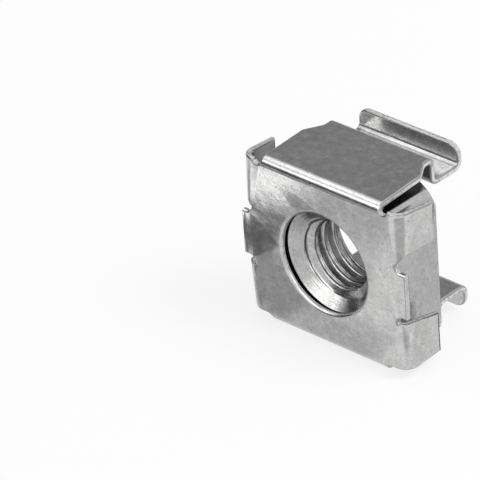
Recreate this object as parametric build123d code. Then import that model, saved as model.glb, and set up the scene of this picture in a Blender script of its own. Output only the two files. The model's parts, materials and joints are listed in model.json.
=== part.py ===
from build123d import *
import math
import os

# Rack cage nut: a square nut trapped loosely in a cage folded from one spring steel blank.
# Millimetres. X runs across the hole face, +Y from the hole face towards the lugs, +Z is up.
# The origin is on the thread axis, half way through the nut.

# Rack rail that the cage clips into
rack_hole = 9.5            # side of the square hole in the rail
grip = 2.3                 # thickest rail that fits between shelf and hook
spring_preload = 0.44      # how far the free lugs stand wider than the hole
lug_side_gap = 0.3         # play of a lug in the hole, each side

# Square nut
nut_overlap = 1.1          # how far the nut reaches past the hole, each side
nut_thick = 4.3
thread_major = 6.0
thread_pitch = 1.0
thread_drop = 1.0825       # major less minor diameter of a metric thread, in pitches
countersink_flare = 0.7    # countersink mouth beyond the thread's major radius, hole side
mouth_flare = 0.1          # the same for the small chamfer on the lug side
corner_flat = 8.7          # straight length left between two turned corners
corner_slope = 35          # degrees between a turned corner and the nut's lug side
nut_edge = 0.4             # rounding of the four long edges

# Folded sheet
sheet = 0.45
wall_bend_inner = 0.25     # inside radius where a wall leaves the hole face
crest_bend_inner = 0.15    # inside radius where a wall turns into its shelf
foot_bend_inner = 0.25     # inside radius at the foot of the riser
hook_bend_inner = 0.3      # inside radius where the riser turns out into the hook
flap_bend_inner = 0.65     # inside radius of the side flaps
wall_flare = 2.9           # degrees that each wall stands open
flap_flare = 2.9           # the same for each side flap

# Room around the nut inside the cage
nut_play_high = 0.15       # towards each wall
nut_play_side = 0.8        # towards each side flap
nut_play_deep = 1.21       # towards the shelves
nut_face_gap = 0.29        # towards the hole face
seat_gap = 0.03            # left under the nut, which rests on the bottom wall

# Hole face, side flaps and side tabs
hole_clear = 0.75          # hole radius beyond the thread's major radius
hole_edge = 0.28           # rolled outer edge of the hole
flap_depth = 3.3
flap_short = 0.3           # how far the flaps end short of the walls
flap_taper = 0.25          # how much shorter still at the free edge
flap_round = 0.4           # rounded free corner of the upper flaps
tab_length = 3.5
tab_proud = 0.07           # how far a tab stands past the bend of the flaps
relief_width = 0.5         # gap between a tab and the next flap
relief_taper = 0.5         # how much wider it is at the flap's free edge
relief_depth = 0.65        # depth of that gap from the flaps' outer side
relief_round = 0.4         # root radius of that gap
notch_depth = 0.55         # corner relief between a wall and the flaps, below the cage's top
notch_round = 0.3
notch_aside = 0.24         # centre of that rounding beyond the wall's side

# Walls and lugs
shoulder = 0.85            # step in from the wall to the lug, each side
shoulder_run = 1.3         # length of that step along the wall
shoulder_back = 0.5        # flat of full lug width before the crest bend
shoulder_round = 0.6
hook_reach = 1.5           # hook height beyond the riser
hook_round = 0.9           # rounded free corners of the hook

# Sizes worked out from the values above
thread_minor = thread_major - thread_drop * thread_pitch
bore_r = thread_minor / 2
nut_side = rack_hole + 2 * nut_overlap
lug_width = rack_hole - 2 * lug_side_gap
plate_width = lug_width + 2 * shoulder
wall_bend = sheet + wall_bend_inner
crest_bend = sheet + crest_bend_inner
flap_bend = sheet + flap_bend_inner
hole_r = thread_major / 2 + hole_clear
cage_high = nut_side + 2 * (nut_play_high + sheet)
cage_wide = nut_side + 2 * (nut_play_side + sheet)
nut_back = sheet + nut_face_gap
shelf_out = nut_back + nut_thick + nut_play_deep + sheet
hook_front = shelf_out + grip
hook_back = hook_front + sheet
riser_out = (rack_hole + spring_preload) / 2
hook_end = riser_out + hook_reach
wall_rise = math.tan(math.radians(wall_flare))
flap_rise = math.tan(math.radians(flap_flare))
flap_end = cage_high / 2 - flap_short
window = tab_length / 2 + relief_width
face_y = -(nut_thick / 2 + nut_back)
cage_lift = nut_play_high - seat_gap
beyond = cage_wide         # reach of the cutting shapes past the cage
spare = 2 * sheet          # length drawn past a free end, then trimmed off
near = sheet / 10          # how close an edge lies to the plane that picks it


def folded(corners, bends):
    """Section of the sheet all along the inside of a closed outline, given the radius of each corner."""
    outline = make_face(FilletPolyline(*corners, radius=bends, close=True).edges())
    return outline - offset(outline, -sheet, kind=Kind.INTERSECTION)


def wall_strip():
    """Hook, riser, shelf and wall at the top, the middle of the hole face, and the same at the bottom."""
    past = hook_back + spare
    above = hook_end + spare
    upper = [
        (past, above),
        (hook_front, above),
        (hook_front, riser_out),
        (shelf_out, riser_out),
        (shelf_out, cage_high / 2 + shelf_out * wall_rise),
        (0, cage_high / 2),
    ]
    lower = [(y, -z) for y, z in reversed(upper)]
    bends = [0, 0, hook_bend_inner, foot_bend_inner, crest_bend, wall_bend]
    section = folded(upper + lower, bends + bends[::-1])
    section -= Pos(hook_back + beyond / 2, 0) * Rectangle(beyond, 2 * beyond)
    for end in (1, -1):
        section -= Pos(shelf_out + beyond / 2, end * (hook_end + beyond / 2)) * Rectangle(beyond, beyond)
    strip = extrude(Plane.YZ * section, plate_width / 2, both=True)
    strip = strip & extrude(wall_outline(), beyond, both=True)
    corners = strip.edges().filter_by(Axis.Y).filter_by(
        lambda e: abs(abs(e.center().Z) - hook_end) < near
    )
    return fillet(corners, hook_round)


def wall_outline():
    """Plan of a wall and its lug: full width, then a rounded shoulder in to the lug's width."""
    end = shelf_out - crest_bend - shoulder_back
    right = [
        (plate_width / 2, -spare),
        (plate_width / 2, end - shoulder_run),
        (lug_width / 2, end),
        (lug_width / 2, hook_back + spare),
    ]
    left = [(-x, y) for x, y in reversed(right)]
    radii = [0, shoulder_round, shoulder_round, 0]
    return make_face(FilletPolyline(*right, *left, radius=radii + radii[::-1], close=True).edges())


def flap_side(at_face, at_free_edge):
    """Side view between two heights, level as far as the flaps' bend, then changing along the flaps."""
    upper = [
        (-spare, at_face),
        (flap_bend, at_face),
        (flap_depth, at_free_edge),
        (flap_depth + spare, at_free_edge),
    ]
    lower = [(y, -z) for y, z in reversed(upper)]
    return Plane.YZ * make_face(Polyline(*upper, *lower, close=True).edges())


def flap_channel():
    """Hole face with the four side flaps, notched at the ends of the wall bends."""
    past = flap_depth + spare
    far = cage_wide / 2 + past * flap_rise
    corners = [(-far, past), (-cage_wide / 2, 0), (cage_wide / 2, 0), (far, past)]
    section = folded(corners, [0, flap_bend, flap_bend, 0])
    section -= Pos(0, flap_depth + beyond / 2) * Rectangle(2 * beyond, beyond)
    channel = extrude(section, cage_high / 2, both=True)
    channel = channel & extrude(flap_side(flap_end, flap_end - flap_taper), beyond, both=True)
    bend_start = cage_high / 2 - wall_bend
    root_z = cage_high / 2 - notch_depth + notch_round
    for end in (1, -1):
        under_wall = Box(plate_width, beyond, beyond)
        channel -= Pos(0, 0, end * (bend_start + beyond / 2)) * under_wall
        for side in (1, -1):
            root = Rot(90, 0, 0) * Cylinder(notch_round, beyond)
            channel -= Pos(side * (plate_width / 2 + notch_aside), 0, end * root_z) * root
    gap = extrude(flap_side(window, window + relief_taper), beyond)
    gap = Pos(cage_wide / 2 - flap_bend, 0, 0) * gap
    channel = channel - gap - mirror(gap, Plane.YZ)
    free_corners = channel.edges().filter_by(Axis.X).filter_by(
        lambda e: abs(e.center().Y - flap_depth) < near and abs(e.center().Z - window - relief_taper) < near
    )
    return fillet(free_corners, flap_round)


def side_tab(side):
    """Flat edge of the hole face that stands out between the two flaps of one side."""
    inner = cage_wide / 2 - flap_bend - sheet
    root = cage_wide / 2 - relief_depth
    tip = cage_wide / 2 + tab_proud
    upper = [(inner, window), (root, window), (root, tab_length / 2), (tip, tab_length / 2)]
    lower = [(x, -z) for x, z in reversed(upper)]
    radii = [0, 0, relief_round, 0]
    outline = FilletPolyline(*upper, *lower, radius=radii + radii[::-1], close=True)
    tab = extrude(Plane.XZ * make_face(outline.edges()), -sheet)
    return tab if side > 0 else mirror(tab, Plane.YZ)


def cage():
    """The folded sheet as one solid with its round hole, set around the nut."""
    sheet_metal = wall_strip() + flap_channel() + side_tab(1) + side_tab(-1)
    sheet_metal -= Rot(90, 0, 0) * Cylinder(hole_r, 2 * spare)
    rim = sheet_metal.edges().filter_by(GeomType.CIRCLE).filter_by(
        lambda e: abs(e.radius - hole_r) < near and abs(e.arc_center.Y) < near
    )
    return Pos(0, face_y, cage_lift) * fillet(rim, hole_edge)


def square_nut():
    """Square nut with rounded long edges, turned corners on the lug side, countersink and bore."""
    block = Box(nut_side, nut_thick, nut_side)
    block = fillet(block.edges().filter_by(Axis.Y), nut_edge)
    half = nut_thick / 2
    face_r = math.hypot(nut_side / 2, corner_flat / 2)
    far_r = nut_side
    drop = (far_r - face_r) * math.tan(math.radians(corner_slope))
    turned = Polyline(
        (0, -beyond),
        (far_r, -beyond),
        (far_r, half - drop),
        (face_r, half),
        (0, half),
        close=True,
    )
    block &= revolve(make_face(turned.edges()), Axis.Y)
    countersink_r = thread_major / 2 + countersink_flare
    mouth_r = thread_major / 2 + mouth_flare
    hole = Polyline(
        (0, -half),
        (countersink_r, -half),
        (bore_r, -half + countersink_r - bore_r),
        (bore_r, half - (mouth_r - bore_r)),
        (mouth_r, half),
        (0, half),
        close=True,
    )
    return block - revolve(make_face(hole.edges()), Axis.Y)


os.makedirs("parts", exist_ok=True)
export_step(cage(), "parts/cage.step")
export_step(square_nut(), "parts/square_nut.step")
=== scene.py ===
"""Looks of a rack cage nut: a folded spring steel cage with a loose square nut in it, both bright plated.

Shapes are drawn in millimetres about the hole axis and written to their meshes in metres.
"""

import cmath
import json
import math

import bmesh
import bpy
from mathutils import Matrix, Vector


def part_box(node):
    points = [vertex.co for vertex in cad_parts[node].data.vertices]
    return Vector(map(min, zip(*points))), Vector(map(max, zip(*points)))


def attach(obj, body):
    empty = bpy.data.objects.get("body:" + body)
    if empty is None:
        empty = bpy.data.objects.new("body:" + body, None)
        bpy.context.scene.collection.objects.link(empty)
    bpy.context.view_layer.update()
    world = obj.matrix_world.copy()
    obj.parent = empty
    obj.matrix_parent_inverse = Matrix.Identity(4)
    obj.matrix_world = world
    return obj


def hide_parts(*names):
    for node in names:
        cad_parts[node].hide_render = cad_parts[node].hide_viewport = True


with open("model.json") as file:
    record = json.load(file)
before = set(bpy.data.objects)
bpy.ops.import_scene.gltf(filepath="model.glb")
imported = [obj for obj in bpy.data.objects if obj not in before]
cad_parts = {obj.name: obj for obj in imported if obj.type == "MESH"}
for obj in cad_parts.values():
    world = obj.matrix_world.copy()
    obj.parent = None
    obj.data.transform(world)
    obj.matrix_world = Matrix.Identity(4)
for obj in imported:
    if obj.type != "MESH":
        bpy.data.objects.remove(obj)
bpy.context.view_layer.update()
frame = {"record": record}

MM = 0.001
TINY = 1e-4

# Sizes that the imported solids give, in millimetres
cage_low, cage_top = (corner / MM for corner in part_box("cage"))
nut_low, nut_top = (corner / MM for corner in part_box("square_nut"))
thread_mount = next(m for m in frame["record"]["mounts"] if m["name"] == "thread")
bore_r = thread_mount["dims"]["r_mm"]
nut_side = nut_top.x - nut_low.x
nut_half = nut_top.y
face_y = cage_low.y
cage_lift = (cage_low.z + cage_top.z) / 2
floor_z = cage_low.z
hook_back = cage_top.y - face_y

# Folded sheet
sheet = 0.45
cut_edge = 0.19            # rounding of the sheet's cut edges
end_zone = 0.205           # reach of that rounding, where an end is cut square
end_round = 0.2            # share of the rounding that is left there
wall_bend = 0.7            # radii are those of the sheet's outer side
crest_bend = 0.6
foot_bend = 0.25
hook_bend = 0.3
flap_bend = 1.1
hole_edge = 0.28
wall_flare = math.radians(2.9)
flap_flare = math.radians(2.9)
bend_rows = 12             # strips in one bend

# Outline of the cage
cage_high = 12.9
cage_wide = 14.2
hole_r = 3.75
plate_half = 5.3           # half width of a wall
lug_half = 4.45            # half width of a lug
shelf_out = 6.7            # hole face to the outer side of the shelf
riser_out = 4.97           # hole axis to the outer side of a riser
hook_end = 6.47            # hole axis to a hook's free edge
shoulder_end = 5.6         # hole face to where the lug has its own width
shoulder_run = 1.3
shoulder_round = 0.6
hook_round = 0.9
flap_end = 6.15
flap_taper = 0.25          # how much shorter the flaps are at their free edges
flap_depth = 3.3
flap_round = 0.4
window_half = 2.25         # hole axis to the flaps' inner ends, at the hole face
window_taper = 0.5         # how much further apart at the lower flaps' free edges
window_rise = 0.72         # the same for the upper flaps, all along their straight part
rise_end = 0.8             # share of the flaps' bend over which the upper ends rise
tab_tip = 7.24
tab_half = 1.75
relief_depth = 0.65
relief_round = 0.4
notch_width = 0.6
notch_root = 5.9
low_end = 5.97             # hole axis to the lower flaps' ends, which have no notch
low_round = 0.25
nick = 0.05                # rounding of corners that look sharp
pinch_run = 1.2            # length over which a flap's bend widens away from its relief

# Square nut
thread_pitch = 1.0
thread_start = -3.43       # nut's middle to the first drawn crest, right of the hole
countersink_r = 3.85
entry_r = 3.05             # where the countersink ends and the first turn starts
entry_depth = 0.65         # how deep in the nut that is
entry_slope = 2.5          # radius lost per length from there on
mouth_r = 3.1
corner_flat = 8.7
corner_slope = math.radians(35)
nut_corner = 0.4
nut_edge = 0.12
corner_cuts = 4            # straight steps between a corner's flat and its rounding
thread_seam = 0.09         # groove along the crest of a formed thread
thread_cuts = 4            # rows in each part of the thread's profile
thread_steps = 120         # columns in one turn

# Camera and floor
image_px = 480
hole_px = (323.28, 264.62)
view_azimuth = 43.66
view_elevation = 31.71
view_roll = -3.74
view_distance = 0.3007
view_focal_px = 4502.8
floor_reach = 1.5
card_distance = 300


def finish_piece(name, bm, place, node, material):
    """Writes a millimetre bmesh to a metre mesh that stands for a CAD node."""
    bmesh.ops.transform(bm, matrix=Matrix.Scale(MM, 4) @ Matrix.Translation(place), verts=bm.verts)
    mesh = bpy.data.meshes.new(name)
    bm.to_mesh(mesh)
    bm.free()
    mesh.shade_smooth()
    piece = bpy.data.objects.new(name, mesh)
    bpy.context.scene.collection.objects.link(piece)
    mesh.materials.append(material)
    weighted = piece.modifiers.new("flat_faces_stay_flat", "WEIGHTED_NORMAL")
    weighted.keep_sharp = True
    weighted.weight = 100
    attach(piece, "root")
    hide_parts(node)


def round_corners(bm, corners):
    """Rounds drawn corners, given (vertex, tangent length) pairs."""
    for reach in sorted({reach for _, reach in corners if reach}):
        bmesh.ops.bevel(
            bm,
            geom=[vert for vert, own in corners if own == reach],
            offset=reach,
            offset_type="OFFSET",
            segments=8 if reach > nick else 2,
            profile=0.5,
            affect="VERTICES",
            material=-1,
            clamp_overlap=True,
        )


def cut_across(bm, axis, place):
    """Adds a row of vertices where a plane square to an axis crosses the mesh."""
    normal = Vector((axis == 0, axis == 1, axis == 2))
    geom = bm.verts[:] + bm.edges[:] + bm.faces[:]
    bmesh.ops.bisect_plane(bm, geom=geom, dist=10 * TINY, plane_co=normal * place, plane_no=normal)


def fill_ring(bm, outer, inner):
    """Fills the flat area between two closed rows of edges."""
    bmesh.ops.triangle_fill(bm, edges=outer + inner, use_beauty=True, use_dissolve=False)


# The wall's fold: depth and height run as one complex number along the sheet's outer side
class Fold:
    """Straight runs and bends of the sheet, followed by the length along its outer side."""

    def __init__(self, corners, radii):
        self.runs = []
        self.rows = []
        at = corners[0]
        length = 0.0
        for number, corner in enumerate(corners[1:]):
            heading = (corner - at) / abs(corner - at)
            bend = radii[number] if number < len(radii) else 0.0
            turn = 0.0
            if bend:
                onward = corners[number + 2] - corner
                turn = cmath.phase(onward / abs(onward) / heading)
            reach = abs(corner - at) - bend * math.tan(abs(turn) / 2)
            self.runs.append((length, at, heading, reach, bend, turn))
            length += reach + bend * abs(turn)
            if bend:
                start = length - bend * abs(turn)
                self.rows += [start + bend * abs(turn) * step / bend_rows for step in range(bend_rows + 1)]
            out = heading * cmath.exp(1j * turn)
            at = corner + out * bend * math.tan(abs(turn) / 2)
        self.length = length

    def point(self, along, depth):
        """Place of a point that far along the outer side and that deep below it."""
        start, at, heading, reach, bend, turn = next(
            run for run in reversed(self.runs) if along >= run[0] or run is self.runs[0]
        )
        inward = -1j
        travel = along - start
        if travel <= reach or not bend:
            return at + heading * (travel + inward * depth)
        side = 1j if turn > 0 else -1j
        swing = cmath.exp(1j * math.copysign((travel - reach) / bend, turn))
        centre = at + heading * (reach + side * bend)
        outer = -side * heading * swing * bend
        return centre + outer + heading * swing * inward * depth


crest_high = cage_high / 2 + shelf_out * math.tan(wall_flare)
hook_front = hook_back - sheet
wall_fold = Fold(
    [
        0j,
        complex(0, cage_high / 2),
        complex(shelf_out, crest_high),
        complex(shelf_out, riser_out),
        complex(hook_front, riser_out),
        complex(hook_front, hook_end),
    ],
    [wall_bend, crest_bend, foot_bend, hook_bend],
)
flap_turn = math.pi / 2 - flap_flare
flap_tangent = math.tan(flap_turn / 2)
flap_start = cage_wide / 2 - flap_bend * flap_tangent
flap_arc = flap_bend * flap_turn
flap_run = (flap_depth - flap_bend * (1 - math.cos(flap_turn))) / math.sin(flap_turn)
flap_out = flap_start + flap_arc + flap_run
pinch = cage_wide / 2 - relief_depth - flap_start


def along_wall(depth):
    """Length along the fold at a given depth of the sloping wall."""
    start, at, heading = wall_fold.runs[1][:3]
    return start + (depth - at.real) / heading.real


def blank_corners():
    """Right half of the flat blank, from the top edge round to the bottom one, with each corner's rounding."""
    step_turn = math.atan((plate_half - lug_half) / shoulder_run)
    step_reach = shoulder_round * math.tan(step_turn / 2)
    notch_reach = notch_width / 2 - TINY
    upper = [
        (lug_half, wall_fold.length, hook_round),
        (lug_half, along_wall(shoulder_end), step_reach),
        (plate_half, along_wall(shoulder_end - shoulder_run), step_reach),
        (plate_half, notch_root, notch_reach),
        (plate_half + notch_width, notch_root, notch_reach),
        (plate_half + notch_width, flap_end, 0),
        (flap_start + flap_arc, flap_end, 0),
        (flap_out, flap_end - flap_taper, nick),
        (flap_out, window_half + window_rise, flap_round),
        (flap_start + rise_end * flap_arc, window_half + window_rise, 0),
        (flap_start, window_half, 0),
        (flap_start, tab_half, relief_round),
        (tab_tip - pinch, tab_half, nick),
    ]
    lower = upper[:3] + [
        (plate_half, low_end, low_round),
        (flap_start + flap_arc, low_end, 0),
        (flap_out, low_end - flap_taper, nick),
        (flap_out, window_half + window_taper, nick),
        (flap_start + flap_arc, window_half, 0),
    ] + upper[10:]
    return upper + [(x, -z, reach) for x, z, reach in reversed(lower)]


def folded_place(flat):
    """Where a point of the flat blank lies once the sheet is folded."""
    side = math.copysign(1, flat.x)
    end = math.copysign(1, flat.z)
    across, along, depth = abs(flat.x), abs(flat.z), flat.y
    if across < plate_half + notch_width / 2 and along > wall_fold.runs[0][3]:
        place = wall_fold.point(along, depth)
        return Vector((flat.x, place.real, end * place.imag))
    away = min(max((along - window_half) / pinch_run, 0), 1)
    drawn = pinch * (1 - away * away * (3 - 2 * away))
    near_bend = min(max(across - flap_start + 1, 0), 1)
    if across <= flap_start or along < (tab_half + window_half) / 2:
        return Vector((side * (across + drawn * near_bend * near_bend), depth, flat.z))
    radius = flap_bend - drawn / flap_tangent
    turn = min((across - flap_start) / flap_arc, 1) * flap_turn
    bent = cmath.exp(1j * turn)
    place = cage_wide / 2 - radius * flap_tangent + 1j * radius - 1j * bent * (radius - depth)
    if across > flap_start + flap_arc:
        share = (across - flap_start - flap_arc) / flap_run
        place += bent * share * (flap_depth - radius * (1 - math.cos(flap_turn))) / math.sin(flap_turn)
    return Vector((side * place.real, place.imag, flat.z))


def hole_wall(bm):
    """Wall of the round hole with its rolled outer edge, and the two rows of edges that join it to the face."""
    centre = complex(hole_r + hole_edge, hole_edge)
    steps = 8
    turns = [cmath.exp(-0.5j * math.pi * (1 + step / steps)) for step in range(steps + 1)]
    outline = [centre + hole_edge * turn for turn in turns]
    outline += [complex(hole_r, sheet - cut_edge), complex(hole_r + cut_edge / 3, sheet - cut_edge / 3)]
    outline.append(complex(hole_r + cut_edge, sheet))
    verts = [bm.verts.new((p.real, p.imag, 0)) for p in outline]
    edges = [bm.edges.new(pair) for pair in zip(verts, verts[1:])]
    before = set(bm.faces)
    bmesh.ops.spin(
        bm, geom=verts + edges, cent=(0, 0, 0), axis=(0, 1, 0), angle=math.tau, steps=96, use_merge=True
    )
    rows = {edge for face in bm.faces if face not in before for edge in face.edges if edge.is_boundary}
    return [[edge for edge in rows if abs(edge.verts[0].co.y - depth) < TINY] for depth in (0, sheet)]


def squared_end(flat):
    """Flattens the rounding at a tab's tip and at a lower flap's inner end, which are cut square."""
    across, along = abs(flat.x), abs(flat.z)
    tip = tab_tip - pinch
    if along < tab_half and 0 < tip - across < end_zone:
        across = tip - (tip - across) * end_round
    end = window_half + window_taper * min(max((across - flap_start - flap_arc) / flap_run, 0), 1)
    if flat.z < 0 and across > flap_start and 0 < along - end < end_zone:
        square = min(2 * (across - flap_start) / flap_arc, 1)
        along = end + (along - end) * (1 - square * (1 - end_round))
    return Vector((math.copysign(across, flat.x), flat.y, math.copysign(along, flat.z)))


def cage_mesh():
    """The cage: a flat blank with rounded cut edges and a round hole, folded up."""
    bm = bmesh.new()
    cut = bm.verts.layers.float.new("cut")
    right = blank_corners()
    drawn = right + [(-x, z, reach) for x, z, reach in reversed(right)]
    verts = [bm.verts.new((x, 0, z)) for x, z, _ in drawn]
    bm.faces.new(verts)
    round_corners(bm, [(vert, reach) for vert, (_, _, reach) in zip(verts, drawn)])
    bmesh.ops.remove_doubles(bm, verts=bm.verts[:], dist=10 * TINY)
    raised = bmesh.ops.extrude_face_region(bm, geom=bm.faces[:], use_keep_orig=True)
    lifted = [item for item in raised["geom"] if isinstance(item, bmesh.types.BMVert)]
    bmesh.ops.translate(bm, verts=lifted, vec=(0, sheet, 0))
    bmesh.ops.recalc_face_normals(bm, faces=bm.faces[:])
    rim = [e for e in bm.edges if abs(e.verts[0].co.y - e.verts[1].co.y) < TINY]
    bmesh.ops.bevel(
        bm, geom=rim, offset=cut_edge, offset_type="OFFSET", segments=5, profile=0.5, affect="EDGES",
        material=-1, clamp_overlap=False, loop_slide=False
    )
    for row in wall_fold.rows:
        cut_across(bm, 2, row)
        cut_across(bm, 2, -row)
    for step in range(bend_rows + 1):
        row = flap_start + flap_arc * step / bend_rows
        cut_across(bm, 0, row)
        cut_across(bm, 0, -row)
    for depth, loop in zip((0, sheet), hole_wall(bm)):
        plate = max(
            (f for f in bm.faces if abs(f.normal.y) > 0.99 and all(abs(v.co.y - depth) < TINY for v in f.verts)),
            key=lambda f: f.calc_area(),
        )
        border = plate.edges[:]
        bmesh.ops.delete(bm, geom=[plate], context="FACES_ONLY")
        fill_ring(bm, border, loop)
    for vert in bm.verts:
        # The cut layer runs from 0 on the sheet's faces to 1 mid-way through a cut edge; the finish draws the
        # torn cut edges and the painted shade along their sides from it.
        if math.hypot(vert.co.x, vert.co.z) > hole_r + 2 * hole_edge and abs(vert.co.z) > tab_half:
            vert[cut] = 1 - abs(2 * vert.co.y / sheet - 1)
        vert.co = folded_place(squared_end(vert.co))
    bmesh.ops.recalc_face_normals(bm, faces=bm.faces[:])
    return bm


def turned_block(bm):
    """Square block with rounded long edges, its corners turned down to a cone on the lug side."""
    half = nut_side / 2
    bmesh.ops.create_grid(
        bm, x_segments=1, y_segments=1, size=half, matrix=Matrix.Rotation(math.pi / 2, 4, "X")
    )
    round_corners(bm, [(vert, nut_corner) for vert in bm.verts])
    for axis in (0, 2):
        for step in range(corner_cuts):
            place = corner_flat / 2 + step * (half - nut_corner - corner_flat / 2) / corner_cuts
            cut_across(bm, axis, place)
            cut_across(bm, axis, -place)
    inside = [edge for edge in bm.edges if len(edge.link_faces) == 2]
    bmesh.ops.dissolve_edges(bm, edges=inside, use_verts=False)
    bmesh.ops.dissolve_verts(bm, verts=[v for v in bm.verts if not v.is_boundary])
    bmesh.ops.translate(bm, verts=bm.verts[:], vec=(0, -nut_half, 0))
    face_r = math.hypot(half, corner_flat / 2)
    top = next(iter(bm.faces))
    for turned in (False, True):
        below = top
        raised = bmesh.ops.extrude_face_region(bm, geom=[below])["geom"]
        top = next(item for item in raised if isinstance(item, bmesh.types.BMFace))
        if turned:
            bmesh.ops.delete(bm, geom=[below], context="FACES_ONLY")
        for vert in top.verts:
            radius = math.hypot(vert.co.x, vert.co.z)
            inward = min(face_r / radius, 1) if turned else 1
            drop = 0 if turned else max(radius - face_r, 0) * math.tan(corner_slope)
            vert.co = Vector((vert.co.x * inward, nut_half - drop, vert.co.z * inward))
    bmesh.ops.remove_doubles(bm, verts=bm.verts[:], dist=10 * TINY)
    bmesh.ops.recalc_face_normals(bm, faces=bm.faces[:])
    sharp = [e for e in bm.edges if len(e.link_faces) == 2 and e.calc_face_angle() > math.radians(20)]
    bmesh.ops.bevel(
        bm, geom=sharp, offset=nut_edge, offset_type="OFFSET", segments=4, profile=0.5, affect="EDGES",
        material=-1, clamp_overlap=True, loop_slide=True
    )


def thread(bm):
    """Right-hand thread: a spun profile that climbs one pitch a turn, trimmed to the nut and flared."""
    depth = thread_pitch * 5 / 16 / math.tan(math.radians(30))
    shape = [(0, 0), (1 / 8, thread_seam), (1 / 4, 0), (9 / 16, depth), (11 / 16, depth)]
    turns = math.ceil(2 * nut_half / thread_pitch) + 2
    profile = []
    for turn in range(turns):
        for (here, low), (there, high) in zip(shape, shape[1:] + [(1, 0)]):
            for step in range(thread_cuts):
                share = step / thread_cuts
                rise = (turn + here + (there - here) * share) * thread_pitch
                profile.append((bore_r + low + (high - low) * share, rise + thread_start))
    verts = [bm.verts.new((radius, y, 0)) for radius, y in profile]
    edges = [bm.edges.new(pair) for pair in zip(verts, verts[1:])]
    old_faces = set(bm.faces)
    bmesh.ops.spin(
        bm, geom=verts + edges, cent=(0, 0, 0), axis=(0, 1, 0), angle=math.tau, steps=thread_steps,
        dvec=(0, thread_pitch / thread_steps, 0), use_merge=False
    )
    spun = list({v for face in bm.faces if face not in old_faces for v in face.verts})
    bmesh.ops.remove_doubles(bm, verts=spun, dist=10 * TINY)
    for end in (-1, 1):
        wall = [face for face in bm.faces if face not in old_faces]
        geom = list({item for face in wall for item in (*face.verts, *face.edges)}) + wall
        bmesh.ops.bisect_plane(
            bm, geom=geom, dist=TINY, plane_co=(0, end * nut_half, 0), plane_no=(0, end, 0), clear_outer=True
        )
    wall = [face for face in bm.faces if face not in old_faces]
    for vert in {v for face in wall for v in face.verts}:
        radius = math.hypot(vert.co.x, vert.co.z)
        deep = vert.co.y + nut_half
        sunk = countersink_r - deep * (countersink_r - entry_r) / entry_depth
        if deep > entry_depth:
            sunk = entry_r - (deep - entry_depth) * entry_slope
        opened = max(radius, sunk, mouth_r - (nut_half - vert.co.y))
        vert.co.x *= opened / radius
        vert.co.z *= opened / radius
    return wall


def nut_mesh():
    """The nut: turned block and thread, joined by their two flat faces."""
    bm = bmesh.new()
    turned_block(bm)
    wall = thread(bm)
    rows = {edge for face in wall for edge in face.edges if len(edge.link_faces) == 1}
    for end in (-1, 1):
        level = end * nut_half
        flat = max(
            (f for f in bm.faces if all(abs(v.co.y - level) < TINY for v in f.verts)),
            key=lambda f: f.calc_area(),
        )
        border = flat.edges[:]
        bmesh.ops.delete(bm, geom=[flat], context="FACES_ONLY")
        rim = [e for e in rows if abs(e.verts[0].co.y - level) < TINY]
        fill_ring(bm, border, rim)
        for edge in rim:
            edge.smooth = False
    bmesh.ops.recalc_face_normals(bm, faces=bm.faces[:])
    return bm


class Field:
    """A shader socket that takes part in sums."""

    def __init__(self, finish, socket):
        self.finish = finish
        self.socket = socket

    def _sum(self, operation, first, second):
        return self.finish.node("ShaderNodeMath", {"operation": operation}, {0: first, 1: second})

    def __add__(self, other):
        return self._sum("ADD", self, other)

    def __sub__(self, other):
        return self._sum("SUBTRACT", self, other)

    def __rsub__(self, other):
        return self._sum("SUBTRACT", other, self)

    def __mul__(self, other):
        return self._sum("MULTIPLY", self, other)

    __radd__ = __add__
    __rmul__ = __mul__


class Finish:
    """The nodes of a material or a world, as they are put together."""

    def __init__(self, owner):
        self.owner = owner
        owner.use_nodes = True
        self.tree = owner.node_tree
        self.tree.nodes.clear()

    def node(self, kind, settings=None, sockets=None, out=0):
        made = self.tree.nodes.new(kind)
        for key, value in (settings or {}).items():
            setattr(made, key, value)
        for key, value in (sockets or {}).items():
            if isinstance(value, Field):
                self.tree.links.new(value.socket, made.inputs[key])
            else:
                made.inputs[key].default_value = value
        return Field(self, made.outputs[out]) if made.outputs else None

    def noise(self, place, scale, detail=3.0, roughness=0.55):
        """Cloudy pattern from 0 to 1, scale in lumps per millimetre."""
        return self.node(
            "ShaderNodeTexNoise", {}, {"Vector": place, "Scale": scale, "Detail": detail, "Roughness": roughness}
        )

    def between(self, value, low, high):
        """0 below low, 1 above high, smooth between."""
        return self.node(
            "ShaderNodeMapRange",
            {"interpolation_type": "SMOOTHSTEP"},
            {"Value": value, "From Min": low, "From Max": high},
        )

    def mix(self, share, first, second):
        return self.node("ShaderNodeMix", {"data_type": "RGBA"}, {0: share, 6: first, 7: second}, out=2)

    def stretched(self, place, turn, scale):
        """Coordinates turned, then drawn out, for marks that run one way."""
        return self.node("ShaderNodeMapping", {}, {"Vector": place, "Rotation": turn, "Scale": scale})


def grey(value, warmth=0.0):
    return (value * (1 + warmth), value, value * (1 - warmth), 1.0)


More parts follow.
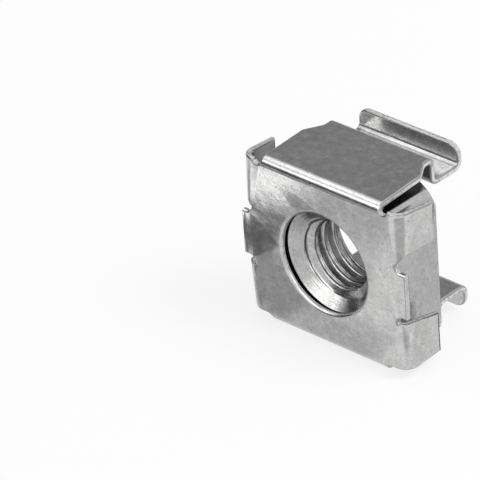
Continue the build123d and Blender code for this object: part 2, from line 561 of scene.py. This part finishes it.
def plated_steel(name, bright, grain_scale, grain_share):
    """Bright plating on steel: clouding, speckle, fine pits, painted glints, scratches, grain and torn cut edges,
    with painted shade along their sides.
    """
    finish = Finish(bpy.data.materials.new(name))
    place = finish.node("ShaderNodeTexCoord", out="Object")
    place = finish.node("ShaderNodeVectorMath", {"operation": "SCALE"}, {0: place, "Scale": 1 / MM})
    cloud = finish.between(finish.noise(place, 0.5, 3.0), 0.35, 0.65)
    mottle = finish.noise(place, 1.6, 6.0, 0.7)
    speckle = finish.noise(place, 7.0, 3.0, 0.6)
    pits = finish.between(speckle, 0.60, 0.70)
    # Painted glints: bright specks drawn into the plating's colour.
    glints = finish.between(speckle, 0.40, 0.30)
    grain = finish.noise(finish.stretched(place, (0, 0, 0), grain_scale), 1.0, 3.0)
    scratch_a = finish.noise(finish.stretched(place, (0.3, 0.5, 0.9), (0.25, 9.0, 9.0)), 1.0, 1.0)
    scratch_b = finish.noise(finish.stretched(place, (1.1, -0.4, -0.6), (0.3, 11.0, 11.0)), 1.0, 1.0)
    scratches = finish.between(scratch_a, 0.72, 0.78) + finish.between(scratch_b, 0.73, 0.79)
    tone = finish.mix(cloud, grey(bright * 0.9, 0.004), grey(bright, 0.006))
    tone = finish.mix(finish.between(mottle, 0.42, 0.7), tone, grey(bright * 1.18))
    tone = finish.mix(0.8 * pits, tone, grey(bright * 0.3))
    tone = finish.mix(0.5 * glints, tone, grey(bright * 1.4))
    cut = finish.node("ShaderNodeAttribute", {"attribute_name": "cut"}, out="Fac")
    sheared = finish.between(cut, 0.4, 0.8)
    # Painted shade: dark lines along both sides of each rounded cut edge, drawn into the colour.
    painted_edge_shade = finish.between(cut, 0.02, 0.12) - finish.between(cut, 0.3, 0.6)
    torn = finish.between(finish.noise(place, 5.0, 2.0), 0.36, 0.52)
    tone = finish.mix(0.6 * painted_edge_shade, tone, grey(bright * 0.3))
    tone = finish.mix(sheared, tone, finish.mix(torn, grey(bright * 0.7), grey(bright * 1.4)))
    roughness = 0.10 + 0.12 * mottle + 0.10 * pits + 0.05 * scratches + 0.08 * grain + 0.35 * sheared
    height = 0.9 * mottle + 0.5 * speckle + grain_share * grain + 0.3 * scratches + 0.6 * cloud
    bump = finish.node(
        "ShaderNodeBump", {}, {"Height": height, "Strength": 0.5, "Distance": 0.012 * MM}
    )
    shader = finish.node(
        "ShaderNodeBsdfPrincipled",
        {},
        {"Base Color": tone, "Metallic": 1.0, "Roughness": roughness, "Normal": bump},
    )
    finish.node("ShaderNodeOutputMaterial", {}, {"Surface": shader})
    return finish.owner


def seen_white(finish):
    """1 for the rays that show the pale surroundings: seen directly, in metal or through glass."""
    rays = [
        finish.node("ShaderNodeLightPath", out=ray)
        for ray in ("Is Camera Ray", "Is Glossy Ray", "Is Transmission Ray")
    ]
    return finish.node("ShaderNodeMath", {"operation": "MINIMUM"}, {0: rays[0] + rays[1] + rays[2], 1: 1.0})


def pale_floor():
    """Wide pale floor under the part, which keeps a light shadow."""
    finish = Finish(bpy.data.materials.new("pale_floor"))
    lit = finish.node("ShaderNodeBsdfDiffuse", {}, {"Color": grey(0.8)})
    shaded = finish.node("ShaderNodeBsdfDiffuse", {}, {"Color": grey(0.3)})
    glow = finish.node("ShaderNodeEmission", {}, {"Color": grey(1.0), "Strength": 0.76})
    white = finish.node("ShaderNodeAddShader", {}, {0: shaded, 1: glow})
    surface = finish.node("ShaderNodeMixShader", {}, {0: seen_white(finish), 1: lit, 2: white})
    finish.node("ShaderNodeOutputMaterial", {}, {"Surface": surface})
    bm = bmesh.new()
    bmesh.ops.create_grid(bm, x_segments=1, y_segments=1, size=floor_reach)
    bmesh.ops.translate(bm, verts=bm.verts[:], vec=(0, 0, floor_z * MM))
    mesh = bpy.data.meshes.new("floor")
    bm.to_mesh(mesh)
    bm.free()
    mesh.materials.append(finish.owner)
    floor = bpy.data.objects.new("floor", mesh)
    bpy.context.scene.collection.objects.link(floor)


def toward(azimuth, elevation):
    """Direction from the part, with azimuth 0 in front of the hole face and 90 to its right."""
    a, e = math.radians(azimuth), math.radians(elevation)
    return Vector((math.sin(a) * math.cos(e), -math.cos(a) * math.cos(e), math.sin(e)))


def card(name, centre, facing, width, height, shine, soft):
    """Studio card in millimetres that only shows in the metal, with edges that fade away."""
    finish = Finish(bpy.data.materials.new(name))
    across = finish.node("ShaderNodeTexCoord", out="UV")
    inside = 1.0
    for axis, length in (("X", width), ("Y", height)):
        share = finish.node("ShaderNodeSeparateXYZ", {}, {0: across}, out=axis)
        edge = finish.node("ShaderNodeMath", {"operation": "PINGPONG"}, {0: share, 1: 0.5})
        inside = inside * finish.between(edge * length, 0.0, soft)
    clear = finish.node("ShaderNodeBsdfTransparent")
    glow = finish.node("ShaderNodeEmission", {}, {"Color": grey(1.0), "Strength": shine})
    surface = finish.node("ShaderNodeMixShader", {}, {0: inside, 1: clear, 2: glow})
    finish.node("ShaderNodeOutputMaterial", {}, {"Surface": surface})
    bm = bmesh.new()
    bm.loops.layers.uv.new("card")
    turn = facing.to_track_quat("Z", "Y").to_matrix().to_4x4()
    bmesh.ops.create_grid(bm, x_segments=1, y_segments=1, size=0.5, calc_uvs=True)
    bmesh.ops.scale(bm, verts=bm.verts[:], vec=(width, height, 1))
    place = Matrix.Scale(MM, 4) @ Matrix.Translation(centre) @ turn
    bmesh.ops.transform(bm, verts=bm.verts[:], matrix=place)
    mesh = bpy.data.meshes.new(name)
    bm.to_mesh(mesh)
    bm.free()
    mesh.materials.append(finish.owner)
    made = bpy.data.objects.new(name, mesh)
    made.visible_camera = False
    made.visible_diffuse = False
    made.visible_shadow = False
    bpy.context.scene.collection.objects.link(made)


def far_card(name, azimuth, elevation, width, height, shine, soft):
    """Card that stands well away from the part and faces it."""
    away = toward(azimuth, elevation)
    card(name, away * card_distance, away, width, height, shine, soft)


def floor_card(name, x, y, lift, width, height, shine, soft):
    """Shaded or bright patch of the floor, lifted a little so that patches can overlap."""
    card(name, (x, y, floor_z + lift), toward(0, 90), width, height, shine, soft)


def lamp(name, azimuth, elevation, distance, size, power):
    light = bpy.data.lights.new(name, "AREA")
    light.shape = "SQUARE"
    light.size = size
    light.energy = power
    made = bpy.data.objects.new(name, light)
    made.location = toward(azimuth, elevation) * distance
    made.rotation_mode = "QUATERNION"
    made.rotation_quaternion = toward(azimuth, elevation).to_track_quat("Z", "Y")
    made.visible_glossy = False
    bpy.context.scene.collection.objects.link(made)


def pale_world():
    world = bpy.data.worlds.new("studio")
    bpy.context.scene.world = world
    finish = Finish(world)
    strength = 0.55 + 0.45 * seen_white(finish)
    sky = finish.node("ShaderNodeBackground", {}, {"Color": grey(1.0), "Strength": strength})
    finish.node("ShaderNodeOutputWorld", {}, {"Surface": sky})


def photo_camera():
    """Long lens at the photograph's angle, turned a little so that the hole lies where the photograph has it."""
    back = toward(view_azimuth, view_elevation)
    level = Vector((math.cos(math.radians(view_azimuth)), math.sin(math.radians(view_azimuth)), 0))
    upright = back.cross(level)
    tilt = math.radians(view_roll)
    right = level * math.cos(tilt) + upright * math.sin(tilt)
    up = upright * math.cos(tilt) - level * math.sin(tilt)
    hole = Vector((0, face_y, cage_lift)) * MM
    per_pixel = view_distance / view_focal_px
    centre = hole + right * (image_px / 2 - hole_px[0]) * per_pixel - up * (image_px / 2 - hole_px[1]) * per_pixel
    place = hole + back * view_distance
    look = (place - centre).normalized()
    side = up.cross(look).normalized()
    camera = bpy.data.cameras.new("photo_camera")
    camera.sensor_width = 36
    camera.lens = camera.sensor_width * view_focal_px / image_px
    camera.clip_start = 0.01
    camera.clip_end = 50
    made = bpy.data.objects.new("photo_camera", camera)
    made.matrix_world = Matrix.Translation(place) @ Matrix((side, look.cross(side), look)).transposed().to_4x4()
    bpy.context.scene.collection.objects.link(made)
    bpy.context.scene.camera = made


spring_steel = plated_steel("plated_spring_steel", 0.56, (0.6, 6.0, 6.0), 0.25)
# Painted shade: the nut's plating is drawn darker than the cage's, for the shade it sits in inside the cage.
nut_steel = plated_steel("plated_nut_steel", 0.45, (0.8, 9.0, 0.8), 2.6)
finish_piece(
    "folded_cage", cage_mesh(), (0, face_y, cage_lift), "cage", spring_steel
)
finish_piece("threaded_nut", nut_mesh(), (0, 0, 0), "square_nut", nut_steel)

pale_floor()
pale_world()
far_card("grey_ceiling", 226, 28, 360, 240, 0.30, 20)
far_card("dark_left", 286, 8, 180, 260, 0.05, 25)
far_card("dark_front", 320, 5, 220, 190, 0.05, 25)
far_card("front_softbox", 358, 42, 270, 200, 2.4, 25)
far_card("riser_softbox", 320, 32, 60, 56, 4.4, 10)
far_card("left_softbox", 285, 54, 170, 100, 1.9, 25)
far_card("camera_softbox", 62, 32, 170, 140, 2.2, 25)
floor_card("shaded_floor", -8.0, -7.0, 0.02, 11.0, 11.0, 0.42, 3.5)
floor_card("near_floor", -0.5, -4.9, 0.03, 9.0, 5.6, 0.66, 1.6)
floor_card("right_floor", 15.0, 8.0, 0.02, 22.0, 20.0, 0.88, 3.0)
floor_card("middle_floor", -13.0, -18.0, 0.03, 18.0, 14.0, 0.60, 4.0)
floor_card("front_floor", 21.5, -17.0, 0.02, 28.0, 26.0, 0.62, 3.0)
floor_card("left_floor", -21.0, -8.0, 0.03, 13.0, 12.0, 0.45, 2.0)
floor_card("far_floor", -41.0, -56.0, 0.02, 66.0, 66.0, 0.25, 8)
floor_card("back_floor", -6.0, 25.0, 0.02, 22.0, 32.0, 0.06, 3.0)
floor_card("dark_patch", -15.4, -10.9, 0.04, 9.0, 7.4, 0.12, 1.0)
floor_card("bright_patch", -18.6, -17.0, 0.05, 7.0, 4.2, 2.5, 0.9)
lamp("key_softbox", 110, 50, 0.40, 0.18, 0.5)
photo_camera()
bpy.context.scene.view_settings.view_transform = "Standard"
